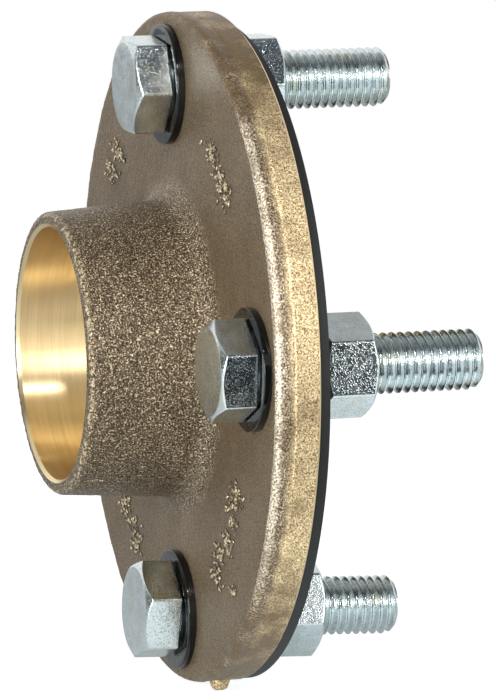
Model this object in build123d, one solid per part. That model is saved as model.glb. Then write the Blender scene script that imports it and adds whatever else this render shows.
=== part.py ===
"""Pipe flange for a soldered tube: a cast bronze body, its gasket and four insulated bolts.

Millimetres. The pipe axis is X and +Z is up. The origin is the centre of the socket's mouth:
the tube comes in along +X, and the bolts point along +X to the mating flange.
"""
import math
import os

from build123d import *

# Cast body
FLANGE_DIAMETER = 177.8
FLANGE_THICKNESS = 12.0
HUB_LENGTH = 33.8
HUB_MOUTH_WALL = 4.0
HUB_DRAFT_SPREAD = 2.1
HUB_EDGE_RADIUS = 1.8
HUB_ROOT_FILLET = 6.0

# Rim: the front band is rounded and falls to the parting line, the back band is a plain cylinder
RIM_EDGE_RADIUS = 1.8
RIM_CROWN_WIDTH = 2.4
FRONT_BAND_WIDTH = 5.0
PARTING_DIP = 0.45
PARTING_RISE_WIDTH = 0.6
BACK_BAND_STEP = 0.2
BACK_EDGE_CHAMFER = 0.5

# Socket for a 66.7 mm copper tube, with a stop shoulder at its end
TUBE_DIAMETER = 66.7
TUBE_CLEARANCE = 0.05
SOCKET_DEPTH = 37.3
SOCKET_MOUTH_CHAMFER = 0.8
STOP_SHOULDER_WIDTH = 2.4

# Stub left where the casting was cut from its runner, low on the rim and turned towards -Y
STUB_BASE_DIAMETER = 5.4
STUB_END_DIAMETER = 3.9
STUB_STAND_OUT = 2.4
STUB_PLACE_IN_RIM = 6.8
STUB_ANGLE = 8.5
STUB_ROOT_DEPTH = 3.0
STUB_EDGE_RADIUS = 0.8

# Distance from the centre of each bolt hole to the rim
BOLT_EDGE_DISTANCE = 19.05

# Gasket, which hangs a little low on the bolts
GASKET_THICKNESS = 2.8
GASKET_RIM_INSET = 1.7
GASKET_WATERWAY_INSET = 5.0
GASKET_HOLE_MARGIN = 0.775
GASKET_DROP = 1.3

# Insulating bushing: a washer and a sleeve moulded in one piece
BUSHING_WASHER_DIAMETER = 31.8
BUSHING_WASHER_THICKNESS = 2.1
BUSHING_WASHER_EDGE = 0.25
SLEEVE_WALL = 1.025
SLEEVE_HOLE_CLEARANCE = 0.2
SLEEVE_BOLT_CLEARANCE = 0.4
SLEEVE_BACK_GAP = 0.5

# Hexagon bolt, 5/8 inch with 11 threads to the inch; the thread is left plain at its crest size
BOLT_DIAMETER = 15.8
BOLT_LENGTH = 62.0
BOLT_TIP_CHAMFER = 1.5
HEX_ACROSS_FLATS = 23.8
HEX_FACE_SHARE = 0.95
HEX_CHAMFER_ANGLE = 30.0
HEAD_HEIGHT = 10.0
HEAD_WASHER_FACE_INSET = 0.7
HEAD_WASHER_FACE_HEIGHT = 0.4

# Hexagon nut
NUT_HEIGHT = 13.9
NUT_BORE_CLEARANCE = 0.06
NUT_COUNTERSINK = 1.2

# A bolt whose nut is loose leans in its bushing, and its head then touches at one edge
LEAN_HEAD_GAP = 0.05

# One row for each bolt: its angle from +Y towards +Z, how far its nut stands off the gasket,
# the angle of one flat of its head and of its nut from -Y towards +Z, and how far its tip sags
STATIONS = {
    "top": {"angle": 90.0, "nut_gap": 0.6, "head_flat": 21.0, "nut_flat": 27.0, "lean": 0.0},
    "front": {"angle": 180.0, "nut_gap": 1.2, "head_flat": -9.0, "nut_flat": 1.0, "lean": 0.0},
    "bottom": {"angle": 270.0, "nut_gap": 9.2, "head_flat": -13.0, "nut_flat": 16.0, "lean": 2.3},
    "rear": {"angle": 0.0, "nut_gap": 0.9, "head_flat": 12.0, "nut_flat": 38.0, "lean": 0.0},
}

# Places along the pipe axis
HUB_FACE_X = HUB_LENGTH
BACK_FACE_X = HUB_FACE_X + FLANGE_THICKNESS
GASKET_FACE_X = BACK_FACE_X + GASKET_THICKNESS
WASHER_FACE_X = HUB_FACE_X - BUSHING_WASHER_THICKNESS
SLEEVE_END_X = BACK_FACE_X - SLEEVE_BACK_GAP

# Radii about the pipe axis, from the tube outwards and from the rim inwards
SOCKET_RADIUS = TUBE_DIAMETER / 2 + TUBE_CLEARANCE
WATERWAY_RADIUS = SOCKET_RADIUS - STOP_SHOULDER_WIDTH
HUB_MOUTH_RADIUS = SOCKET_RADIUS + HUB_MOUTH_WALL
HUB_ROOT_RADIUS = HUB_MOUTH_RADIUS + HUB_DRAFT_SPREAD
RIM_RADIUS = FLANGE_DIAMETER / 2
BOLT_CIRCLE_RADIUS = RIM_RADIUS - BOLT_EDGE_DISTANCE
GASKET_RADIUS = RIM_RADIUS - GASKET_RIM_INSET
GASKET_INNER_RADIUS = WATERWAY_RADIUS + GASKET_WATERWAY_INSET

# Radii about a bolt's axis, from the bolt outwards
BOLT_RADIUS = BOLT_DIAMETER / 2
NUT_BORE_RADIUS = BOLT_RADIUS + NUT_BORE_CLEARANCE
SLEEVE_BORE_RADIUS = BOLT_RADIUS + SLEEVE_BOLT_CLEARANCE
SLEEVE_RADIUS = SLEEVE_BORE_RADIUS + SLEEVE_WALL
BOLT_HOLE_RADIUS = SLEEVE_RADIUS + SLEEVE_HOLE_CLEARANCE
GASKET_HOLE_RADIUS = BOLT_HOLE_RADIUS + GASKET_HOLE_MARGIN
HEAD_WASHER_FACE_RADIUS = HEX_ACROSS_FLATS / 2 - HEAD_WASHER_FACE_INSET


def turned(outline):
    """Turn a closed outline of (x, radius) points once round the pipe axis."""
    return revolve(make_face(outline), Axis.X)


def along_x(radius, start, end):
    """A cylinder on the pipe axis from one x to another."""
    body = Cylinder(radius, end - start, align=(Align.CENTER, Align.CENTER, Align.MIN))
    return Pos(start, 0, 0) * Rot(0, 90, 0) * body


def at_station(station, shape):
    """Move a shape from the pipe axis to its place on the bolt circle."""
    angle = math.radians(STATIONS[station]["angle"])
    across = BOLT_CIRCLE_RADIUS * math.cos(angle)
    up = BOLT_CIRCLE_RADIUS * math.sin(angle)
    return Pos(0, across, up) * shape


def leaning(station, shape):
    """Lean a bolt or its nut, still on the pipe axis, about the middle of its bushing."""
    lean = STATIONS[station]["lean"]
    middle = (WASHER_FACE_X + SLEEVE_END_X) / 2
    back_off = 0.0
    if lean:
        back_off = HEAD_WASHER_FACE_RADIUS * math.sin(math.radians(lean)) + LEAN_HEAD_GAP
    return Pos(middle - back_off, 0, 0) * Rot(0, lean, 0) * Pos(-middle, 0, 0) * shape


def nearest_vertex(face, x, radius):
    """The corner of a flat outline that lies at (x, radius)."""
    return min(face.vertices(), key=lambda corner: math.hypot(corner.X - x, corner.Y - radius))


def body_outline():
    """Half the body's section, with its rounded corners, as a face in the XY plane."""
    back_band = RIM_RADIUS - BACK_BAND_STEP
    corners = [
        (SOCKET_MOUTH_CHAMFER, SOCKET_RADIUS),
        (0, SOCKET_RADIUS + SOCKET_MOUTH_CHAMFER),
        (0, HUB_MOUTH_RADIUS),
        (HUB_FACE_X, HUB_ROOT_RADIUS),
        (HUB_FACE_X, RIM_RADIUS),
        (HUB_FACE_X + RIM_CROWN_WIDTH, RIM_RADIUS),
        (HUB_FACE_X + FRONT_BAND_WIDTH, RIM_RADIUS - PARTING_DIP),
        (HUB_FACE_X + FRONT_BAND_WIDTH + PARTING_RISE_WIDTH, back_band),
        (BACK_FACE_X - BACK_EDGE_CHAMFER, back_band),
        (BACK_FACE_X, back_band - BACK_EDGE_CHAMFER),
        (BACK_FACE_X, WATERWAY_RADIUS),
        (SOCKET_DEPTH, WATERWAY_RADIUS),
        (SOCKET_DEPTH, SOCKET_RADIUS),
    ]
    face = make_face(Polyline(*corners, close=True))
    face = fillet(nearest_vertex(face, 0, HUB_MOUTH_RADIUS), HUB_EDGE_RADIUS)
    face = fillet(nearest_vertex(face, HUB_FACE_X, HUB_ROOT_RADIUS), HUB_ROOT_FILLET)
    return fillet(nearest_vertex(face, HUB_FACE_X, RIM_RADIUS), RIM_EDGE_RADIUS)


def runner_stub():
    """The broken-off stub on the rim: a short taper with a softened end."""
    length = STUB_ROOT_DEPTH + STUB_STAND_OUT
    stub = Cone(STUB_BASE_DIAMETER / 2, STUB_END_DIAMETER / 2, length,
                align=(Align.CENTER, Align.CENTER, Align.MIN))
    stub = fillet(stub.edges().group_by(Axis.Z)[-1], STUB_EDGE_RADIUS)
    stub = Pos(0, 0, RIM_RADIUS - STUB_ROOT_DEPTH) * stub
    return Pos(HUB_FACE_X + STUB_PLACE_IN_RIM, 0, 0) * Rot(180 - STUB_ANGLE, 0, 0) * stub


def flange_body():
    """The casting: hub, flange, turned socket and the four bolt holes."""
    body = revolve(body_outline(), Axis.X) + runner_stub()
    hole = along_x(BOLT_HOLE_RADIUS, HUB_FACE_X - 1, BACK_FACE_X + 1)
    for station in STATIONS:
        body -= at_station(station, hole)
    return body


def gasket():
    """The full-face rubber ring between the two flanges."""
    ring = along_x(GASKET_RADIUS, BACK_FACE_X, GASKET_FACE_X)
    ring -= along_x(GASKET_INNER_RADIUS, BACK_FACE_X - 1, GASKET_FACE_X + 1)
    hole = along_x(GASKET_HOLE_RADIUS, BACK_FACE_X - 1, GASKET_FACE_X + 1)
    for station in STATIONS:
        ring -= at_station(station, hole)
    return Pos(0, 0, -GASKET_DROP) * ring


def bushing():
    """Washer under the bolt head and sleeve in the bolt hole, on the pipe axis."""
    washer = along_x(BUSHING_WASHER_DIAMETER / 2, WASHER_FACE_X, HUB_FACE_X)
    washer = chamfer(washer.edges().group_by(Axis.X)[0], BUSHING_WASHER_EDGE)
    sleeve = along_x(SLEEVE_RADIUS, HUB_FACE_X, SLEEVE_END_X)
    return washer + sleeve - along_x(SLEEVE_BORE_RADIUS, WASHER_FACE_X - 1, SLEEVE_END_X + 1)


def hexagon(start, end, flat_angle, chamfered_start, chamfered_end):
    """A hexagon along X whose chosen ends are chamfered round, as if turned."""
    corner_radius = HEX_ACROSS_FLATS / math.sqrt(3)
    face_radius = HEX_ACROSS_FLATS / 2 * HEX_FACE_SHARE
    drop = (corner_radius - face_radius) * math.tan(math.radians(HEX_CHAMFER_ANGLE))
    prism = extrude(RegularPolygon(corner_radius, 6), end - start)
    # The polygon's corners start on its own X, which lands on -Z, so a flat then faces Y
    prism = Pos(start, 0, 0) * Rot(-flat_angle, 0, 0) * Rot(0, 90, 0) * prism
    start_radius = face_radius if chamfered_start else corner_radius
    end_radius = face_radius if chamfered_end else corner_radius
    envelope = Polyline(
        (start, 0),
        (start, start_radius),
        (start + drop, corner_radius),
        (end - drop, corner_radius),
        (end, end_radius),
        (end, 0),
        close=True,
    )
    return prism & turned(envelope)


def hex_bolt(station):
    """A bolt pushed through its bushing, its head on the washer."""
    tip = WASHER_FACE_X + BOLT_LENGTH
    head_seat = WASHER_FACE_X - HEAD_WASHER_FACE_HEIGHT
    head_end = WASHER_FACE_X - HEAD_HEIGHT
    head = hexagon(head_end, head_seat, STATIONS[station]["head_flat"], True, False)
    washer_face = along_x(HEAD_WASHER_FACE_RADIUS, head_seat, WASHER_FACE_X)
    shank = along_x(BOLT_RADIUS, WASHER_FACE_X, tip)
    shank = chamfer(shank.edges().group_by(Axis.X)[-1], BOLT_TIP_CHAMFER)
    return at_station(station, leaning(station, head + washer_face + shank))


def hex_nut(station):
    """A nut on its bolt, with a countersink at each end of its bore."""
    start = GASKET_FACE_X + STATIONS[station]["nut_gap"]
    end = start + NUT_HEIGHT
    nut = hexagon(start, end, STATIONS[station]["nut_flat"], True, True)
    bore = Polyline(
        (start, 0),
        (start, NUT_BORE_RADIUS + NUT_COUNTERSINK),
        (start + NUT_COUNTERSINK, NUT_BORE_RADIUS),
        (end - NUT_COUNTERSINK, NUT_BORE_RADIUS),
        (end, NUT_BORE_RADIUS + NUT_COUNTERSINK),
        (end, 0),
        close=True,
    )
    return at_station(station, leaning(station, nut - turned(bore)))


def main():
    os.makedirs("parts", exist_ok=True)
    export_step(flange_body(), "parts/flange_body.step")
    export_step(gasket(), "parts/gasket.step")
    for station in STATIONS:
        export_step(at_station(station, bushing()), f"parts/bushing_{station}.step")
        export_step(hex_bolt(station), f"parts/hex_bolt_{station}.step")
        export_step(hex_nut(station), f"parts/hex_nut_{station}.step")


main()
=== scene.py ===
"""Looks for the insulated pipe flange: cast bronze, rubber gasket, plastic bushings, zinc-plated bolts.

Metres in Blender. Sizes here are in millimetres, in the part's own frame: the pipe axis is X, the
origin is the centre of the socket's mouth, -Y is towards the camera and +Z is up.
"""
import math
import random

import bmesh
import bpy
import numpy as np
from mathutils import Matrix, Vector, noise


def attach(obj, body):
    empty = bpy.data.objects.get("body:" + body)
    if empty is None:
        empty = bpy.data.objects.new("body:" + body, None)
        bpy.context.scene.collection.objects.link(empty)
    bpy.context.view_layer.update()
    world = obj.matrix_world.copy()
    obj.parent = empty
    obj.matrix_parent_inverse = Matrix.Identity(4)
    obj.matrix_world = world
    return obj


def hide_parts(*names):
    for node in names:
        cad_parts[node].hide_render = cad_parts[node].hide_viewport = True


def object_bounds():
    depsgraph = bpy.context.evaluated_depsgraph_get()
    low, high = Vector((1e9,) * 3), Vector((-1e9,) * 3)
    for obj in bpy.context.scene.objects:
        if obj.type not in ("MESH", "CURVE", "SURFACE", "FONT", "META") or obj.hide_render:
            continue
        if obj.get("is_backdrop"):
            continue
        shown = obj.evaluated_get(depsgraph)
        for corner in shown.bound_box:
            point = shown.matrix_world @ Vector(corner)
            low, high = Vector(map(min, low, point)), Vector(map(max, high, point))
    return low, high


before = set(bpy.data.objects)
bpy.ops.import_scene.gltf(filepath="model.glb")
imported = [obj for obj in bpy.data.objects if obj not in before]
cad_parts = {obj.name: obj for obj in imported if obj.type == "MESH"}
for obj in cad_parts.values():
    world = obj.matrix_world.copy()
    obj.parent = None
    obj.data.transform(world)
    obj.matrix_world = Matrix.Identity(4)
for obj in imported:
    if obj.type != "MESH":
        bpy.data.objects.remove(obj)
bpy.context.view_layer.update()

MM = 0.001

# ---------------------------------------------------------------- camera
PHOTO_SIZE = (496, 700)
FOCAL_PIXELS = 6000.0
SENSOR = 36.0
CAMERA_PLACE = Vector((-0.42248, -1.51536, 0.14463))
CAMERA_RIGHT = Vector((0.95311, -0.30194, -0.02029))
CAMERA_UP = Vector((0.04696, 0.08133, 0.99558))
CAMERA_BACK = Vector((-0.29895, -0.94985, 0.09169))


def make_camera():
    data = bpy.data.cameras.new("camera")
    data.lens = FOCAL_PIXELS * SENSOR / max(PHOTO_SIZE)
    data.sensor_width = SENSOR
    data.clip_start, data.clip_end = 0.05, 50.0
    camera = bpy.data.objects.new("camera", data)
    bpy.context.scene.collection.objects.link(camera)
    turn = Matrix((CAMERA_RIGHT, CAMERA_UP, CAMERA_BACK)).transposed()
    camera.matrix_world = Matrix.Translation(CAMERA_PLACE) @ turn.to_4x4()
    bpy.context.scene.camera = camera


def on_face(px, py):
    """Where a pixel of the photograph lands on the flange's front face: (y, z) in millimetres."""
    across = (px - PHOTO_SIZE[0] / 2) / FOCAL_PIXELS
    down = (py - PHOTO_SIZE[1] / 2) / FOCAL_PIXELS
    ray = CAMERA_RIGHT * across - CAMERA_UP * down - CAMERA_BACK
    reach = (FACE_X * MM - CAMERA_PLACE.x) / ray.x
    point = (CAMERA_PLACE + ray * reach) / MM
    return point.y, point.z


# ---------------------------------------------------------------- sizes of the casting
RIM_RADIUS = 88.9
FACE_X = 33.8
BACK_X = 45.8
HUB_MOUTH_RADIUS = 37.4
HUB_ROOT_RADIUS = 39.5
HUB_EDGE_RADIUS = 1.8
HUB_ROOT_FILLET = 6.0
RIM_EDGE_RADIUS = 1.8
CROWN_WIDTH = 2.4
FRONT_BAND = 5.0
PARTING_DIP = 0.45
PARTING_RISE = 0.6
BACK_BAND_RADIUS = 88.7
BACK_CHAMFER = 0.5
SOCKET_RADIUS = 33.4
SOCKET_DEPTH = 37.3
SOCKET_CHAMFER = 0.8
WATERWAY_RADIUS = 31.0
BOLT_CIRCLE_RADIUS = 69.85
BOLT_HOLE_RADIUS = 9.525
STUB = {"x": 6.8, "angle": 8.5, "base": 2.7, "end": 1.95, "out": 2.4}

# Sizes of the fasteners
WASHER_THICKNESS = 2.1
WASHER_RADIUS = 15.9
WASHER_X = FACE_X - WASHER_THICKNESS
SLEEVE_RADIUS = 9.325
SLEEVE_BORE = 8.3
SLEEVE_END = BACK_X - 0.5
GASKET_X = 48.6
BOLT_RADIUS = 7.9
BOLT_LENGTH = 62.0
BOLT_TIP_CHAMFER = 1.5
PITCH = 25.4 / 11
THREAD_ROOT = BOLT_RADIUS - 0.6134 * PITCH
THREAD_START = 44.0
ACROSS_FLATS = 23.8
HEX_FACE_RADIUS = 11.305
HEX_EDGE_RADIUS = 1.0
HEX_CHAMFER = math.tan(math.radians(30.0))
HEAD_HEIGHT = 10.0
HEAD_WASHER_RADIUS = 11.2
HEAD_WASHER_HEIGHT = 0.4
NUT_HEIGHT = 13.9
NUT_BORE = 7.96
NUT_COUNTERSINK = 1.2
LEAN_BACK_OFF = HEAD_WASHER_RADIUS * math.sin(math.radians(2.3)) + 0.05

STATIONS = {
    "top": {"angle": 90.0, "nut_gap": 0.6, "head_flat": 21.0, "nut_flat": 27.0, "lean": 0.0},
    "front": {"angle": 180.0, "nut_gap": 1.2, "head_flat": -9.0, "nut_flat": 1.0, "lean": 0.0},
    "bottom": {"angle": 270.0, "nut_gap": 9.2, "head_flat": -13.0, "nut_flat": 16.0, "lean": 2.3},
    "rear": {"angle": 0.0, "nut_gap": 0.9, "head_flat": 12.0, "nut_flat": 38.0, "lean": 0.0},
}


# ---------------------------------------------------------------- mesh tools
def piece_from(name, points, faces, slots=None):
    """A mesh object in millimetres with its outside facing out and its doubled points merged."""
    mesh = bpy.data.meshes.new(name)
    mesh.from_pydata([tuple(p) for p in points], [], faces)
    if slots is not None:
        mesh.polygons.foreach_set("material_index", slots)
    work = bmesh.new()
    work.from_mesh(mesh)
    bmesh.ops.remove_doubles(work, verts=work.verts, dist=0.002)
    bmesh.ops.dissolve_degenerate(work, edges=work.edges, dist=0.0005)
    bmesh.ops.recalc_face_normals(work, faces=work.faces)
    work.to_mesh(mesh)
    work.free()
    mesh.transform(Matrix.Scale(MM, 4))
    piece = bpy.data.objects.new(name, mesh)
    bpy.context.scene.collection.objects.link(piece)
    return piece


def ring_faces(count, steps, closed):
    """Quads between neighbouring rings of points, and between the last and the first if closed."""
    faces = []
    for ring in range(count if closed else count - 1):
        here, there = ring * steps, (ring + 1) % count * steps
        for step in range(steps):
            after = (step + 1) % steps
            faces.append((here + step, here + after, there + after, there + step))
    return faces


def join(name, parts):
    """One mesh of several closed ones."""
    work = bmesh.new()
    for part in parts:
        work.from_mesh(part.data)
    mesh = bpy.data.meshes.new(name)
    work.to_mesh(mesh)
    work.free()
    for part in parts:
        bpy.data.objects.remove(part)
    piece = bpy.data.objects.new(name, mesh)
    bpy.context.scene.collection.objects.link(piece)
    return piece


def shade(piece, sharp_above):
    """Smooth shading, with edges that turn more than the given angle left sharp."""
    work = bmesh.new()
    work.from_mesh(piece.data)
    limit = math.radians(sharp_above)
    for face in work.faces:
        face.smooth = True
    for edge in work.edges:
        edge.smooth = len(edge.link_faces) != 2 or edge.calc_face_angle(0) < limit
    work.to_mesh(piece.data)
    work.free()


def even_angles(steps):
    return [2 * math.pi * k / steps for k in range(steps)]


def circle(x, radius, angles):
    return [(x, radius * math.cos(a), radius * math.sin(a)) for a in angles]


def turned_piece(name, outline, steps):
    """A closed outline of (x, radius) points turned once round the X axis."""
    angles = even_angles(steps)
    points = [p for x, radius in outline for p in circle(x, radius, angles)]
    return piece_from(name, points, ring_faces(len(outline), steps, True))


def corner_arc(before, here, after, rounding, spacing):
    """The points that round one corner of an outline, or the corner itself where it stays sharp."""
    if not rounding:
        return [here]
    come, go = (here - before).normalized(), (after - here).normalized()
    turn = come.angle(go)
    hand = 1 if come.cross(go) > 0 else -1
    side = Vector((-come.y, come.x)) * hand
    centre = here - come * rounding * math.tan(turn / 2) + side * rounding
    steps = max(3, round(rounding * turn / min(spacing, 0.35 * rounding)))
    return [centre - Matrix.Rotation(hand * turn * k / steps, 2) @ side * rounding
            for k in range(steps + 1)]


def rounded_outline(corners):
    """Points (x, radius, surface) along a closed outline. Each corner is (x, radius, rounding,
    surface, spacing), and its surface and spacing are those of the stretch that follows it."""
    count = len(corners)
    spots = [Vector(c[:2]) for c in corners]
    arcs = [corner_arc(spots[i - 1], spots[i], spots[(i + 1) % count], corners[i][2], corners[i][4])
            for i in range(count)]
    made = []
    for i, (_, _, _, surface, spacing) in enumerate(corners):
        start, end = arcs[i][-1], arcs[(i + 1) % count][0]
        pieces = max(1, round((end - start).length / spacing))
        stretch = [start.lerp(end, k / pieces) for k in range(1, pieces)]
        made += [(p.x, p.y, surface) for p in arcs[i] + stretch]
    return made


def smooth_step(value, low, high):
    t = np.clip((value - low) / (high - low), 0.0, 1.0)
    return t * t * (3 - 2 * t)


def octaves(place, size):
    """Signed noise of that feature size, with a finer octave on top; about -1 to 1."""
    point = Vector(place) / size
    return noise.noise(point) + 0.5 * noise.noise(point * 2.1 + Vector((7.0, 3.0, 5.0)))


# ---------------------------------------------------------------- materials
class Nodes:
    """A short way to write a node tree."""

    def __init__(self, tree):
        self.tree = tree
        tree.nodes.clear()

    def new(self, kind):
        return self.tree.nodes.new(kind)

    def feed(self, socket, value):
        """Give a socket a link, a colour or a number."""
        if isinstance(value, bpy.types.NodeSocket):
            self.tree.links.new(value, socket)
        elif isinstance(value, tuple) and socket.type == "RGBA":
            socket.default_value = (*value, 1.0)
        else:
            socket.default_value = value

    def set(self, node, **values):
        for name, value in values.items():
            self.feed(node.inputs[name.replace("_", " ")], value)
        return node

    def math(self, how, one, other):
        node = self.new("ShaderNodeMath")
        node.operation = how
        self.feed(node.inputs[0], one)
        self.feed(node.inputs[1], other)
        return node.outputs[0]

    def between(self, value, low, high):
        """0 below low, 1 above high."""
        node = self.new("ShaderNodeMapRange")
        self.set(node, Value=value, From_Min=low, From_Max=high)
        return node.outputs["Result"]

    def ramp(self, value, *stops):
        """Stops are (place, colour or grey)."""
        node = self.new("ShaderNodeValToRGB")
        elements = node.color_ramp.elements
        while len(elements) < len(stops):
            elements.new(0.5)
        for element, (place, colour) in zip(elements, stops):
            element.position = place
            element.color = (*colour, 1.0) if isinstance(colour, tuple) else (colour,) * 3 + (1.0,)
        self.feed(node.inputs["Fac"], value)
        return node.outputs["Color"]

    def mix(self, share, one, other, mode="MIX"):
        node = self.new("ShaderNodeMix")
        node.data_type, node.blend_type = "RGBA", mode
        self.feed(node.inputs[0], share)
        self.feed(node.inputs[6], one)
        self.feed(node.inputs[7], other)
        return node.outputs[2]


class Graph(Nodes):
    """A material with one Principled shader, its patterns placed in the part's own frame."""

    def __init__(self, name):
        self.material = bpy.data.materials.new(name)
        self.material.use_nodes = True
        super().__init__(self.material.node_tree)
        self.output = self.new("ShaderNodeOutputMaterial")
        self.shader = self.new("ShaderNodeBsdfPrincipled")
        self.feed(self.output.inputs["Surface"], self.shader.outputs[0])
        self.place = self.new("ShaderNodeTexCoord").outputs["Object"]

    def noise(self, size, detail=2.0, roughness=0.5, stretch=None):
        """Noise whose features are about size millimetres across; 0 to 1."""
        vector = self.place
        if stretch:
            mapping = self.new("ShaderNodeMapping")
            mapping.inputs["Scale"].default_value = stretch
            self.feed(mapping.inputs["Vector"], vector)
            vector = mapping.outputs[0]
        node = self.new("ShaderNodeTexNoise")
        self.set(node, Vector=vector, Scale=1 / (size * MM), Detail=detail, Roughness=roughness)
        return node.outputs["Fac"]

    def along_pipe(self):
        """Distance along the pipe axis, in metres."""
        split = self.new("ShaderNodeSeparateXYZ")
        self.feed(split.inputs[0], self.place)
        return split.outputs["X"]

    def attribute(self, name):
        node = self.new("ShaderNodeAttribute")
        node.attribute_name = name
        return node.outputs["Fac"]

    def bump(self, height, distance, over=None):
        """Bump whose height of 1 stands up distance millimetres."""
        node = self.new("ShaderNodeBump")
        self.set(node, Height=height, Distance=distance * MM, Strength=1.0)
        if over is not None:
            self.feed(node.inputs["Normal"], over)
        return node.outputs[0]


def cast_skin():
    """Sand-cast bronze: dull and finely grained on the face, coarse with bright grains on the hub, with
    painted shadow beside the cast lumps on the face.
    """
    g = Graph("cast_bronze_skin")
    rough = g.attribute("roughcast")
    grit = g.noise(0.42, 2.0, 0.6)
    grain = g.noise(0.45, 3.0, 0.65)
    patches = g.noise(16.0, 3.0, 0.55)
    face = g.ramp(grain, (0.36, (0.055, 0.038, 0.021)), (0.64, (0.340, 0.252, 0.150)))
    hub = g.ramp(grit, (0.38, (0.026, 0.018, 0.010)), (0.50, (0.130, 0.091, 0.051)),
                 (0.59, (0.330, 0.245, 0.147)), (0.67, (1.0, 0.84, 0.58)))
    colour = g.mix(rough, face, hub)
    flecks = g.ramp(g.noise(1.1, 3.0, 0.65), (0.50, 0.0), (0.62, 0.85))
    colour = g.mix(g.math("MULTIPLY", g.attribute("edge_wear"), flecks), colour, (0.85, 0.70, 0.46))
    colour = g.mix(1.0, colour, g.ramp(patches, (0.32, (0.80, 0.79, 0.76)), (0.68, 1.0)), "MULTIPLY")
    # Painted shadow: the face darkened beside each cast lump.
    colour = g.mix(g.attribute("painted_lump_shadow"), colour, (0.060, 0.062, 0.048))
    height = g.math("MULTIPLY", grit, g.math("ADD", g.math("MULTIPLY", rough, 0.75), 0.25))
    normal = g.bump(height, 0.32, over=g.bump(g.noise(2.4, 2.0, 0.5), 0.30))
    g.set(g.shader, Base_Color=colour, Metallic=0.4, Roughness=g.ramp(rough, (0.0, 0.48), (1.0, 0.38)),
          Normal=normal)
    return g.material


def cast_rim():
    """The rim: dark and coarse in front of the parting line, golden and finely grained behind it, with a
    painted highlight on its rounded crown and painted shade towards its top and bottom.
    """
    g = Graph("cast_bronze_rim")
    coarse = g.noise(0.50, 2.0, 0.6)
    fine = g.noise(0.42, 2.0, 0.6)
    front = g.ramp(coarse, (0.37, (0.060, 0.042, 0.026)), (0.48, (0.220, 0.158, 0.096)),
                   (0.58, (0.52, 0.400, 0.250)), (0.68, (1.0, 0.90, 0.70)))
    # Painted highlight: the rounded crown next to the face is brightened, most at the middle height.
    painted_crown_highlight = g.ramp(coarse, (0.36, (0.170, 0.125, 0.078)), (0.48, (0.54, 0.43, 0.29)),
                   (0.60, (1.0, 0.93, 0.78)))
    crown_highlight_share = g.ramp(g.attribute("tarnish_and_shade"), (0.0, 1.0), (0.6, 0.0))
    front = g.mix(g.math("MULTIPLY", crown_highlight_share, g.between(g.along_pipe(), 36.2 * MM, 35.4 * MM)), front, painted_crown_highlight)
    back = g.ramp(fine, (0.37, (0.220, 0.138, 0.056)), (0.49, (0.64, 0.475, 0.245)),
                  (0.62, (0.98, 0.82, 0.53)))
    wander = g.math("MULTIPLY", g.noise(9.0, 2.0, 0.5), 3.0 * MM)
    share = g.between(g.math("SUBTRACT", g.along_pipe(), wander), 35.7 * MM, 37.1 * MM)
    colour = g.mix(share, front, back)
    # Random tarnish patches, plus painted shade that darkens the rim towards its top and bottom.
    tarnish_and_shade = g.math("ADD", g.noise(9.0, 4.0, 0.65), g.math("MULTIPLY", g.attribute("tarnish_and_shade"), 0.30))
    colour = g.mix(g.ramp(tarnish_and_shade, (0.46, 0.0), (0.84, 0.90)), colour, (0.135, 0.082, 0.032))
    g.set(g.shader, Base_Color=colour, Metallic=0.5, Roughness=0.42, Normal=g.bump(coarse, 0.16))
    return g.material


def worn_crest():
    """The cast lumps: painted shade at the foot where each bead meets the skin, their tops rubbed back to
    bright metal.
    """
    g = Graph("worn_bronze_shaded_foot")
    grain = g.noise(0.6, 2.0, 0.5)
    crest = g.ramp(grain, (0.34, (0.14, 0.090, 0.042)), (0.46, (0.55, 0.40, 0.21)),
                   (0.58, (1.0, 0.88, 0.64)))
    lifted = g.between(g.along_pipe(), (FACE_X - 0.12) * MM, (FACE_X - 0.38) * MM)
    # Painted shade: near-black at the foot of each bead, where it meets the face.
    colour = g.mix(lifted, (0.050, 0.034, 0.018), crest)
    g.set(g.shader, Base_Color=colour, Metallic=0.7, Roughness=0.32, Normal=g.bump(grain, 0.2))
    return g.material


def turned_bronze():
    """Machined bronze: rings round the axis spread its highlights along the axis."""
    g = Graph("turned_bronze")
    rings = g.noise(0.22, 2.0, 0.6, stretch=(1.0, 0.015, 0.015))
    bands = g.noise(3.0, 2.0, 0.5, stretch=(1.0, 0.015, 0.015))
    colour = g.ramp(rings, (0.3, (0.86, 0.66, 0.36)), (0.7, (0.97, 0.81, 0.51)))
    colour = g.mix(1.0, colour, g.ramp(bands, (0.3, 0.88), (0.7, 1.0)), "MULTIPLY")
    tangent = g.new("ShaderNodeTangent")
    tangent.direction_type, tangent.axis = "RADIAL", "X"
    g.set(g.shader, Base_Color=colour, Metallic=1.0, Roughness=0.30, Anisotropic=0.93,
          Anisotropic_Rotation=0.25, Tangent=tangent.outputs[0])
    return g.material


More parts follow.
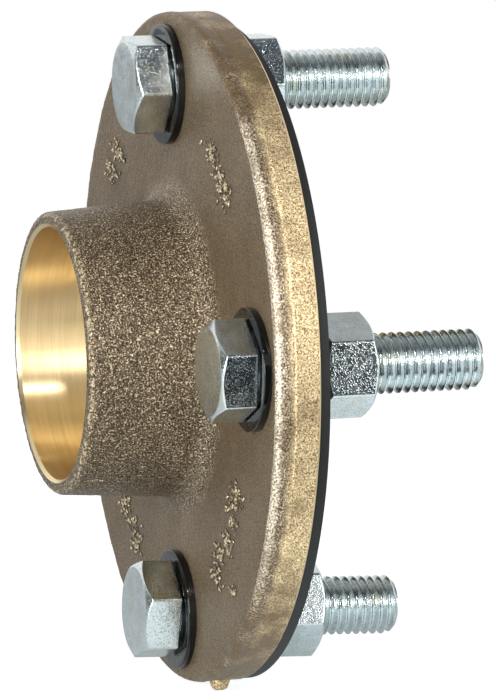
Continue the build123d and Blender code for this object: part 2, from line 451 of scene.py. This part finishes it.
def zinc(name, pit_depth):
    """Bright zinc plating with faint stains; the forged flats are pitted, the rolled thread hardly."""
    g = Graph(name)
    cloud = g.noise(4.0, 3.0, 0.6)
    pits = g.noise(0.45, 2.0, 0.5)
    colour = g.ramp(cloud, (0.30, (0.60, 0.67, 0.66)), (0.70, (0.74, 0.81, 0.83)))
    colour = g.mix(g.ramp(g.noise(7.0, 2.0, 0.5), (0.52, 0.0), (0.72, 0.6)), colour, (0.66, 0.67, 0.55))
    colour = g.mix(1.0, colour, g.ramp(pits, (0.60, 1.0), (0.72, 0.45)), "MULTIPLY")
    dents = g.ramp(pits, (0.54, 1.0), (0.70, 0.0))
    normal = g.bump(dents, pit_depth, over=g.bump(cloud, 0.12))
    g.set(g.shader, Base_Color=colour, Metallic=1.0, Normal=normal,
          Roughness=g.ramp(cloud, (0.3, 0.16), (0.7, 0.26)))
    return g.material


def rubber():
    g = Graph("gasket_rubber")
    grain = g.noise(0.5, 3.0, 0.6)
    colour = g.ramp(grain, (0.3, (0.006, 0.0068, 0.0065)), (0.7, (0.014, 0.0155, 0.015)))
    g.set(g.shader, Base_Color=colour, Roughness=0.6, Specular_IOR_Level=0.4, Normal=g.bump(grain, 0.03))
    return g.material


def plastic():
    g = Graph("insulating_plastic")
    wave = g.noise(3.5, 2.0, 0.5)
    colour = g.ramp(wave, (0.3, (0.003, 0.003, 0.003)), (0.7, (0.006, 0.006, 0.006)))
    g.set(g.shader, Base_Color=colour, Roughness=g.ramp(wave, (0.3, 0.06), (0.7, 0.12)),
          Specular_IOR_Level=0.4, Normal=g.bump(wave, 0.12))
    return g.material


def floor_material():
    """White to the camera with the object's shadow kept; to metal it glows as painted light, dim behind the
    object and bright in front.
    """
    g = Graph("studio_floor")
    g.tree.nodes.remove(g.shader)
    matt, glow, both = (g.new(f"ShaderNode{kind}") for kind in ("BsdfDiffuse", "Emission", "AddShader"))
    g.set(matt, Color=(0.55, 0.55, 0.55))
    path = g.new("ShaderNodeLightPath")
    mirrored = g.math("MAXIMUM", path.outputs["Is Glossy Ray"], path.outputs["Is Transmission Ray"])
    split = g.new("ShaderNodeSeparateXYZ")
    g.feed(split.inputs[0], g.place)
    # Painted light on the floor for mirrored rays: dim behind the object, bright in front of it, faintly
    # blue-green.
    front = g.ramp(g.between(split.outputs["Y"], 0.2, -0.4), (0.0, 0.24), (0.34, 0.36),
                   (0.42, 0.85), (0.60, 0.95), (1.0, 1.0))
    seen = g.math("MULTIPLY", path.outputs["Is Camera Ray"], 0.87)
    g.set(glow, Color=g.mix(path.outputs["Is Camera Ray"], (0.90, 1.0, 1.04), (1.0, 1.0, 1.0)),
          Strength=g.math("ADD", seen, g.math("MULTIPLY", mirrored, front)))
    g.feed(both.inputs[0], matt.outputs[0])
    g.feed(both.inputs[1], glow.outputs[0])
    g.feed(g.output.inputs["Surface"], both.outputs[0])
    return g.material


# ---------------------------------------------------------------- the casting
# Irregular raised lumps of the cast skin, by their pixels in the photograph: (px, py, size in mm)
CAST_LUMPS = [
    (212, 149, 2.6), (213, 157, 2.4), (219, 174, 2.4), (219, 183, 2.6), (225, 190, 2.4), (226, 200, 3.0),
    (118, 149, 2.0), (121, 155, 2.0), (111, 167, 2.2), (114, 175, 2.6),
    (236, 493, 2.2), (236, 501, 2.8), (230, 506, 2.0), (234, 524, 2.0), (227, 537, 2.4), (229, 547, 2.2),
    (220, 554, 2.6), (218, 565, 3.0), (216, 577, 2.4), (233, 590, 1.4),
    (126, 502, 1.6), (124, 512, 1.6), (132, 523, 2.2), (138, 535, 2.6), (137, 546, 2.0),
]
BEADS_PER_LUMP = 22
LUMP_SPREAD = 2.6
BEAD = {"across": 0.95, "along": 0.42, "out": 0.46}
CASTING_STEPS = 512
FLASH_LINE = {"angle": -122.0, "start": 2.6, "end": 8.2, "beads": 16}


def casting_outline():
    return rounded_outline([
        (SOCKET_CHAMFER, SOCKET_RADIUS, 0, "turned", 0.5),
        (0.0, SOCKET_RADIUS + SOCKET_CHAMFER, 0, "skin", 0.6),
        (0.0, HUB_MOUTH_RADIUS, HUB_EDGE_RADIUS, "skin", 0.55),
        (FACE_X, HUB_ROOT_RADIUS, HUB_ROOT_FILLET, "skin", 1.3),
        (FACE_X, RIM_RADIUS, RIM_EDGE_RADIUS, "rim", 0.5),
        (FACE_X + CROWN_WIDTH, RIM_RADIUS, 3.0, "rim", 0.5),
        (FACE_X + FRONT_BAND, RIM_RADIUS - PARTING_DIP, 1.0, "rim", 0.3),
        (FACE_X + FRONT_BAND + PARTING_RISE, BACK_BAND_RADIUS, 0.5, "rim", 0.7),
        (BACK_X - BACK_CHAMFER, BACK_BAND_RADIUS, 0, "turned", 0.5),
        (BACK_X, BACK_BAND_RADIUS - BACK_CHAMFER, 0, "turned", 6.0),
        (BACK_X, WATERWAY_RADIUS, 0, "turned", 2.5),
        (SOCKET_DEPTH, WATERWAY_RADIUS, 0, "turned", 1.2),
        (SOCKET_DEPTH, SOCKET_RADIUS, 0, "turned", 1.6),
    ])


def cast_relief(place, radius, surface):
    """How far the sand left the skin below the plain shape, in millimetres; never above it."""
    x = place[0]
    if surface == "turned":
        return 0.0
    if surface == "rim":
        grain = float(smooth_step(x, FACE_X + FRONT_BAND + 0.4, FACE_X + FRONT_BAND - 1.0))
        return min(0.0, (0.02 + 0.10 * grain) * (octaves(place, 1.5) + 0.8 * octaves(place, 6.0) - 1.1))
    on_hub = 1 - float(smooth_step(radius, 42.0, 47.0))
    return min(0.0, (0.02 + 0.10 * on_hub) * (octaves(place, 1.4) + 0.8 * octaves(place, 6.0) - 1.1))


def casting():
    outline = casting_outline()
    count = len(outline)
    spots = np.array([(x, r) for x, r, _ in outline])
    surfaces = [s for _, _, s in outline]
    along = np.roll(spots, -1, 0) - np.roll(spots, 1, 0)
    along /= np.linalg.norm(along, axis=1)[:, None]
    outward = np.stack([-along[:, 1], along[:, 0]], 1)
    points = []
    for ring, (x, r, surface) in enumerate(outline):
        if surfaces[ring - 1] == "turned":
            surface = "turned"
        for angle in even_angles(CASTING_STEPS):
            place = (x, r * math.cos(angle), r * math.sin(angle))
            lift = cast_relief(place, r, surface)
            reach = r + outward[ring, 1] * lift
            points.append((x + outward[ring, 0] * lift, reach * math.cos(angle), reach * math.sin(angle)))
    names = ["skin", "rim", "turned"]
    slots = np.repeat([names.index(s) for s in surfaces], CASTING_STEPS)
    return piece_from("casting", points, ring_faces(count, CASTING_STEPS, True), slots)


def mark_skin(piece):
    """Tell the materials where the hub is rough or worn, where painted shadow lies beside the lumps on the
    face, and where painted shade darkens the rim towards its top and bottom.
    """
    co = np.zeros(len(piece.data.vertices) * 3)
    piece.data.vertices.foreach_get("co", co)
    co = co.reshape(-1, 3) / MM
    radius = np.hypot(co[:, 1], co[:, 2])
    near_hub = (1 - smooth_step(radius, 41.5, 47.0)) * (co[:, 0] < FACE_X + 1)
    # Painted shadow beside each cast lump on the face: a patch shifted towards -Y and stretched along Y.
    painted_lump_shadow = np.zeros(len(co))
    for px, py, size in CAST_LUMPS:
        y, z = on_face(px, py)
        off = np.hypot((co[:, 1] - y + 1.5) / 2.0, co[:, 2] - z) / size
        painted_lump_shadow = np.maximum(painted_lump_shadow, 0.45 * np.exp(-off * off) * (co[:, 0] < FACE_X + 1))
    # Painted shade: the rim darkens towards its top and bottom, away from its middle height.
    tarnish_and_shade = smooth_step(np.abs(co[:, 2] - 4.0), 45.0, 84.0)
    edge_wear = (1 - smooth_step(co[:, 0], 0.4, 1.8)) * (radius > 36)
    for name, values in (("roughcast", near_hub), ("painted_lump_shadow", painted_lump_shadow), ("tarnish_and_shade", tarnish_and_shade),
                         ("edge_wear", edge_wear)):
        layer = piece.data.attributes.new(name, "FLOAT", "POINT")
        layer.data.foreach_set("value", values.astype(np.float32))


def drill(piece):
    """Cut the four bolt holes through the casting."""
    for row in STATIONS.values():
        angle = math.radians(row["angle"])
        y, z = BOLT_CIRCLE_RADIUS * math.cos(angle), BOLT_CIRCLE_RADIUS * math.sin(angle)
        drill_bit = turned_piece("drill_bit", [
            (FACE_X - 3, 0), (FACE_X - 3, BOLT_HOLE_RADIUS), (BACK_X + 3, BOLT_HOLE_RADIUS), (BACK_X + 3, 0),
        ], 72)
        drill_bit.data.transform(Matrix.Translation((0, y * MM, z * MM)))
        cut = piece.modifiers.new("hole", "BOOLEAN")
        cut.operation, cut.solver, cut.object = "DIFFERENCE", "EXACT", drill_bit
        apply_modifiers(piece)
        bpy.data.objects.remove(drill_bit)


def apply_modifiers(piece):
    graph = bpy.context.evaluated_depsgraph_get()
    made = bpy.data.meshes.new_from_object(piece.evaluated_get(graph), preserve_all_data_layers=True,
                                           depsgraph=graph)
    old = piece.data
    piece.modifiers.clear()
    piece.data = made
    bpy.data.meshes.remove(old)


def bead(place, out, size, turn):
    """Points and faces of a small crooked bead, half sunk in the skin at a place."""
    ball = bmesh.new()
    bmesh.ops.create_icosphere(ball, subdivisions=2, radius=1.0)
    lie = out.to_track_quat("X", "Z").to_matrix() @ Matrix.Rotation(turn, 3, "X")
    points = []
    for vert in ball.verts:
        swell = 1 + 0.35 * octaves(place + vert.co, 0.9)
        points.append(place + lie @ Vector([vert.co[i] * size[i] * swell for i in range(3)]))
    faces = [[vert.index for vert in face.verts] for face in ball.faces]
    ball.free()
    return points, faces


def cast_lumps():
    """Crooked beads strewn over the lumps of the face, and the flash line on the hub."""
    chance = random.Random(11)
    beads = []
    for px, py, size in CAST_LUMPS:
        y, z = on_face(px, py)
        for _ in range(BEADS_PER_LUMP):
            scale = chance.uniform(0.5, 1.35)
            place = Vector((FACE_X + 0.06, y + chance.gauss(0, LUMP_SPREAD), z + chance.gauss(0, 0.6) * size))
            shape = (BEAD["out"] * scale, BEAD["across"] * scale, BEAD["along"] * scale)
            beads.append(bead(place, Vector((1, 0, 0)), shape, chance.gauss(0, 0.5)))
    angle = math.radians(FLASH_LINE["angle"])
    up = Vector((0, math.cos(angle), math.sin(angle)))
    for _ in range(FLASH_LINE["beads"]):
        x = chance.uniform(FLASH_LINE["start"], FLASH_LINE["end"])
        radius = HUB_MOUTH_RADIUS + (HUB_ROOT_RADIUS - HUB_MOUTH_RADIUS) * x / FACE_X - 0.08
        beads.append(bead(Vector((x, 0, 0)) + up * radius, up, (0.20, 0.16, 0.34), chance.gauss(0, 0.3)))
    points, faces = [], []
    for spots, sides in beads:
        faces += [[len(points) + i for i in side] for side in sides]
        points += spots
    return piece_from("cast_lumps", points, faces)


def runner_stub():
    """The broken-off stub on the rim, its end rough from the break."""
    rings = [(-3.0, 0.0), (-3.0, 1.0), (0.0, 1.0), (0.7, 0.99), (1.3, 0.97), (1.8, 0.92), (2.15, 0.82),
             (2.33, 0.66), (2.4, 0.4), (2.4, 0.0)]
    steps = 40
    points = []
    for out, share in rings:
        taper = STUB["base"] + (STUB["end"] - STUB["base"]) * max(0.0, out) / STUB["out"]
        for a in even_angles(steps):
            u, v = taper * share * math.cos(a), taper * share * math.sin(a)
            rough = 0.12 * octaves((u, v, out), 1.1) if out > 0.5 else 0.0
            reach = RIM_RADIUS + min(out + rough - 0.1 if out > 2 else out, STUB["out"])
            points.append((FACE_X + STUB["x"] + u * (1 + rough * 0.3), v * (1 + rough * 0.3), -reach))
    piece = piece_from("runner_stub", points, ring_faces(len(rings), steps, False))
    piece.data.transform(Matrix.Rotation(math.radians(-STUB["angle"]), 4, "X"))
    return piece


# ---------------------------------------------------------------- fasteners
def station_matrix(station, leaning=True):
    row = STATIONS[station]
    angle = math.radians(row["angle"])
    across = Matrix.Translation((0, BOLT_CIRCLE_RADIUS * math.cos(angle) * MM,
                                 BOLT_CIRCLE_RADIUS * math.sin(angle) * MM))
    if not (leaning and row["lean"]):
        return across
    middle = (WASHER_X + SLEEVE_END) / 2
    back = Matrix.Translation(((middle - LEAN_BACK_OFF) * MM, 0, 0))
    return (across @ back @ Matrix.Rotation(math.radians(row["lean"]), 4, "Y")
            @ Matrix.Translation((-middle * MM, 0, 0)))


# Degrees from a corner of a hexagon to the middle of a flat, close together on the rounded corner
CORNER_TO_FLAT = [0.0, 0.5, 1.0, 1.5, 2.0, 2.6, 4.0, 7.5, 12.0, 18.0, 24.0, 30.0]
CHAMFER_SOFTNESS = 0.1


def hex_angles(flat_angle):
    """Angles round a hexagon that has the middle of a flat at the given one."""
    sector = CORNER_TO_FLAT + [60 - a for a in reversed(CORNER_TO_FLAT[1:-1])]
    return [flat_angle + math.radians(30 + 60 * k + a) for k in range(6) for a in sector]


def hex_radius(off_corner):
    """Radius of the hexagon at an angle from its nearest corner, which is rounded."""
    half = ACROSS_FLATS / 2
    spread = math.radians(30) - math.atan((half - HEX_EDGE_RADIUS) / half * math.tan(math.radians(30)))
    if off_corner > spread:
        return half / math.cos(math.radians(30) - off_corner)
    centre = (half - HEX_EDGE_RADIUS) / math.cos(math.radians(30))
    across = centre * math.sin(off_corner)
    return centre * math.cos(off_corner) + math.sqrt(HEX_EDGE_RADIUS ** 2 - across ** 2)


def soft_least(one, other, softness):
    """The smaller of two sizes, rounded where they cross."""
    gap = (one - other) / softness
    if abs(gap) > 30:
        return min(one, other)
    return min(one, other) - softness * math.log1p(math.exp(-abs(gap)))


def hex_ring(x, start, end, chamfered_end, flat_angle):
    """One ring of a hexagon along X, inside the cones that chamfer its ends."""
    ring = []
    for angle in hex_angles(flat_angle):
        off = (angle - flat_angle - math.radians(30)) % (math.pi / 3)
        radius = hex_radius(min(off, math.pi / 3 - off))
        radius = soft_least(radius, HEX_FACE_RADIUS + (x - start) / HEX_CHAMFER, CHAMFER_SOFTNESS)
        if chamfered_end:
            radius = soft_least(radius, HEX_FACE_RADIUS + (end - x) / HEX_CHAMFER, CHAMFER_SOFTNESS)
        elif end - x < 0.3:
            radius -= 0.3 - math.sqrt(max(0.0, 0.3 ** 2 - (0.3 - (end - x)) ** 2))
        ring.append((x, radius * math.cos(angle), radius * math.sin(angle)))
    return ring


def chamfer_places(start, end, both):
    """Places of the rings along a hexagon: close together where its chamfer curves."""
    near = [0.0, 0.03, 0.08] + [0.1 * k for k in range(2, 16)] + [1.65, 1.9]
    places = [start + d for d in near]
    places += [start + 1.9 + (end - start - 3.8) * k / 6 for k in range(1, 6)]
    if both:
        places += [end - d for d in reversed(near)]
    else:
        places += [end - d for d in (1.9, 1.0, 0.5, 0.3, 0.22, 0.14, 0.07, 0.02, 0.0)]
    return places


def hex_bolt(station):
    """Head with a round chamfer and washer face, and a shank with a rolled right-hand thread."""
    flat = math.radians(180.0 - STATIONS[station]["head_flat"])
    angles = hex_angles(flat)
    start, end = WASHER_X - HEAD_HEIGHT, WASHER_X - HEAD_WASHER_HEIGHT
    rings = [circle(start, share * HEX_FACE_RADIUS, angles) for share in (0.0, 0.5, 0.85)]
    rings += [circle(start, HEX_FACE_RADIUS - 0.25, angles),
              circle(start + 0.01, HEX_FACE_RADIUS - 0.12, angles)]
    rings += [hex_ring(x, start, end, False, flat) for x in chamfer_places(start, end, False)[1:]]
    rings += [circle(end, HEAD_WASHER_RADIUS, angles),
              circle(WASHER_X - 0.1, HEAD_WASHER_RADIUS, angles),
              circle(WASHER_X, HEAD_WASHER_RADIUS - 0.1, angles),
              circle(WASHER_X, 0.0, angles)]
    points = [p for ring in rings for p in ring]
    head = piece_from(f"bolt_head_{station}", points, ring_faces(len(rings), len(angles), False))
    shank = threaded_shank(f"bolt_shank_{station}")
    shank.data.polygons.foreach_set("material_index", [1] * len(shank.data.polygons))
    return join(f"bolt_{station}", [head, shank])


THREAD_PHASES = [0.0, 0.05, 0.10, 0.14, 0.20, 0.30, 0.38, 0.42, 0.45, 0.5, 0.55, 0.58, 0.62, 0.70, 0.80, 0.86,
                 0.90, 0.95]
THREAD_STEPS = 80


def thread_radius(phase):
    """Depth of a rolled 60 degree thread: rounded root at phase 0, narrow flat crest at 0.5."""
    off = abs((phase % 1.0) - 0.5)
    slope = 1 - (off - 0.0625) / (0.375 - 0.0625)
    rounded_crest = soft_least(slope, 1.0, 0.045)
    rounded_root = -soft_least(-rounded_crest, 0.0, 0.06)
    return THREAD_ROOT + (BOLT_RADIUS - THREAD_ROOT) * min(1.0, rounded_root)


def threaded_shank(name):
    tip = WASHER_X + BOLT_LENGTH
    turns = math.ceil((tip - THREAD_START) / PITCH) + 2
    per_turn = len(THREAD_PHASES)
    columns = (turns + 1) * per_turn
    angles = even_angles(THREAD_STEPS)
    points, faces = [], []
    for step, angle in enumerate(angles):
        for column in range(columns):
            phase = column // per_turn + THREAD_PHASES[column % per_turn]
            free = THREAD_START + PITCH * (phase - 1 + step / THREAD_STEPS)
            x = min(max(free, THREAD_START), tip)
            cut = thread_radius(phase) if x == free else BOLT_RADIUS
            run_in = float(smooth_step(x, THREAD_START, THREAD_START + 1.5))
            radius = BOLT_RADIUS - (BOLT_RADIUS - cut) * run_in
            radius = min(radius, BOLT_RADIUS - BOLT_TIP_CHAMFER + (tip - x))
            points.append((x, radius * math.cos(angle), radius * math.sin(angle)))
    for step in range(THREAD_STEPS):
        last = step == THREAD_STEPS - 1
        for column in range(columns - 1):
            there = min(column + per_turn, columns - 1) if last else column
            there_next = min(column + 1 + per_turn, columns - 1) if last else column + 1
            other = 0 if last else (step + 1) * columns
            quad = [step * columns + column, other + there, other + there_next, step * columns + column + 1]
            if len(set(quad)) > 2:
                faces.append(tuple(dict.fromkeys(quad)))
    end_radius = BOLT_RADIUS - BOLT_TIP_CHAMFER
    for caps in ([(WASHER_X - 1.0, 0.0), (WASHER_X - 1.0, BOLT_RADIUS), (THREAD_START, BOLT_RADIUS)],
                 [(tip, end_radius), (tip, 0.5 * end_radius), (tip, 0.0)]):
        base = len(points)
        points += [p for x, radius in caps for p in circle(x, radius, angles)]
        faces += [tuple(base + i for i in face) for face in ring_faces(3, THREAD_STEPS, False)]
    return piece_from(name, points, faces)


def hex_nut(station):
    row = STATIONS[station]
    flat = math.radians(180.0 - row["nut_flat"])
    angles = hex_angles(flat)
    start = GASKET_X + row["nut_gap"]
    end = start + NUT_HEIGHT
    rings = [circle(start, HEX_FACE_RADIUS - 0.6, angles),
             circle(start + 0.01, HEX_FACE_RADIUS - 0.12, angles)]
    rings += [hex_ring(x, start, end, True, flat) for x in chamfer_places(start, end, True)[1:-1]]
    rings += [circle(end - 0.01, HEX_FACE_RADIUS - 0.12, angles),
              circle(end, HEX_FACE_RADIUS - 0.6, angles),
              circle(end, NUT_BORE + NUT_COUNTERSINK, angles),
              circle(end - NUT_COUNTERSINK, NUT_BORE, angles),
              circle(start + NUT_COUNTERSINK, NUT_BORE, angles),
              circle(start, NUT_BORE + NUT_COUNTERSINK, angles)]
    points = [p for ring in rings for p in ring]
    return piece_from(f"nut_{station}", points, ring_faces(len(rings), len(angles), True))


def bushing(station):
    """Moulded washer and sleeve, with softened edges."""
    edge = 0.3
    corner = [(WASHER_X + edge - edge * math.sin(a), WASHER_RADIUS - edge + edge * math.cos(a))
              for a in (math.radians(90 * k / 5) for k in range(5, -1, -1))]
    outline = [(WASHER_X, SLEEVE_BORE), (WASHER_X, WASHER_RADIUS - 2.0)] + corner
    outline += [(FACE_X - 0.12, WASHER_RADIUS), (FACE_X, WASHER_RADIUS - 0.12), (FACE_X, SLEEVE_RADIUS),
                (SLEEVE_END, SLEEVE_RADIUS), (SLEEVE_END, SLEEVE_BORE)]
    return turned_piece(f"bushing_shell_{station}", outline, 128)


# ---------------------------------------------------------------- put together
def dress(piece, body, materials, replaced=None):
    for material in materials:
        piece.data.materials.append(material)
    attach(piece, body)
    if replaced:
        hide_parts(replaced)


def build():
    rim = cast_rim()
    flats, thread = zinc("zinc_plated_flats", 0.030), zinc("zinc_plated_thread", 0.01)
    black = plastic()

    body = casting()
    drill(body)
    mark_skin(body)
    shade(body, 38)
    dress(body, "flange_set", [cast_skin(), rim, turned_bronze()], "flange_body")
    lumps = cast_lumps()
    shade(lumps, 60)
    dress(lumps, "flange_set", [worn_crest()])
    stub = runner_stub()
    shade(stub, 40)
    dress(stub, "flange_set", [rim])

    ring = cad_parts["gasket"]
    ring.data.materials.clear()
    ring.data.materials.append(rubber())

    for station in STATIONS:
        bolt, nut, shell = hex_bolt(station), hex_nut(station), bushing(station)
        for piece in (bolt, nut):
            piece.data.transform(station_matrix(station))
        shell.data.transform(station_matrix(station, leaning=False))
        for piece in (bolt, nut, shell):
            shade(piece, 35)
        dress(bolt, f"bolt_{station}", [flats, thread], f"hex_bolt_{station}")
        dress(nut, f"nut_{station}", [flats], f"hex_nut_{station}")
        dress(shell, "flange_set", [black], f"bushing_{station}")


# ---------------------------------------------------------------- studio
def lamp(name, place, size, power, aim=(0.03, 0.0, 0.0)):
    data = bpy.data.lights.new(name, "AREA")
    data.shape, data.size, data.size_y = "RECTANGLE", size[0], size[1]
    data.energy = power
    light = bpy.data.objects.new(name, data)
    bpy.context.scene.collection.objects.link(light)
    light.location = place
    light.rotation_mode = "QUATERNION"
    light.rotation_quaternion = (Vector(aim) - Vector(place)).to_track_quat("-Z", "Y")
    light.visible_camera = False


def stage_piece(name, corners, material):
    mesh = bpy.data.meshes.new(name)
    mesh.from_pydata(corners, [], [(0, 1, 2, 3)])
    mesh.materials.append(material)
    piece = bpy.data.objects.new(name, mesh)
    bpy.context.scene.collection.objects.link(piece)
    piece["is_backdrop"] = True
    return piece


def dark_flag():
    """A dark card that stands and lies low in front, which the metal sees and the light doesn't."""
    g = Graph("dark_card")
    g.set(g.shader, Base_Color=(0.010, 0.016, 0.026), Roughness=0.9)
    left, right, low, high, near, far = 0.01, 0.155, -0.0905, 0.034, -0.13, -0.25
    cards = {
        "dark_flag": [(left, far, low), (right, far, low), (right, far, high), (left, far, high)],
        "dark_mat": [(left, far, low), (right, far, low), (right, near, low), (left, near, low)],
    }
    for name, corners in cards.items():
        card = stage_piece(name, corners, g.material)
        card.visible_camera = card.visible_diffuse = card.visible_shadow = False


def studio_world():
    """White to the camera, a plain grey to matt surfaces, and to metal a room: light behind, light
    low in front and at the sides, dark above the lamps."""
    world = bpy.data.worlds.new("studio")
    bpy.context.scene.world = world
    world.use_nodes = True
    n = Nodes(world.node_tree)
    split = n.new("ShaderNodeSeparateXYZ")
    n.feed(split.inputs[0], n.new("ShaderNodeTexCoord").outputs["Generated"])
    x, y = split.outputs["X"], split.outputs["Y"]
    height = n.between(split.outputs["Z"], -1.0, 1.0)
    dark = (0.040, 0.052, 0.075)
    left = n.ramp(height, (0.0, 0.8), (0.60, 0.95), (0.66, 0.30), (1.0, 0.25))
    middle = n.ramp(height, (0.0, 0.7), (0.60, 0.62), (0.745, 0.62), (0.775, dark), (0.93, dark), (1.0, 0.3))
    right = n.ramp(height, (0.0, 0.8), (0.60, 0.95), (0.80, 0.95), (0.86, dark), (0.93, dark), (1.0, 0.3))
    behind = n.ramp(height, (0.0, 0.6), (0.50, 0.95), (0.72, 1.1), (0.93, 0.45), (1.0, 0.3))
    front = n.mix(n.between(x, -0.35, -0.15), left, middle)
    front = n.mix(n.between(x, 0.40, 0.55), front, right)
    room = n.mix(n.between(y, -0.15, 0.10), front, behind)
    room = n.mix(n.between(x, -0.80, -0.90), room, (0.11, 0.11, 0.075))
    path = n.new("ShaderNodeLightPath")
    plain = n.mix(path.outputs["Is Glossy Ray"], (0.24, 0.24, 0.25), room)
    back = n.new("ShaderNodeBackground")
    n.set(back, Color=n.mix(path.outputs["Is Camera Ray"], plain, (1.0, 1.0, 1.0)), Strength=1.0)
    n.feed(n.new("ShaderNodeOutputWorld").inputs["Surface"], back.outputs[0])


def studio():
    reach, z = 7.0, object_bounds()[0].z - 0.0004
    stage_piece("floor", [(-reach, -reach, z), (reach, -reach, z), (reach, reach, z), (-reach, reach, z)],
                floor_material())
    dark_flag()
    studio_world()
    lamp("key_left", (-1.10, -1.05, 0.18), (1.0, 0.54), 22.0)
    lamp("small_front", (-0.20, -0.94, 0.71), (0.07, 0.07), 5.0)
    lamp("fill_right", (1.15, -1.35, 0.34), (0.6, 0.5), 8.0)


make_camera()
build()
studio()
bpy.context.scene.view_settings.view_transform = "Standard"
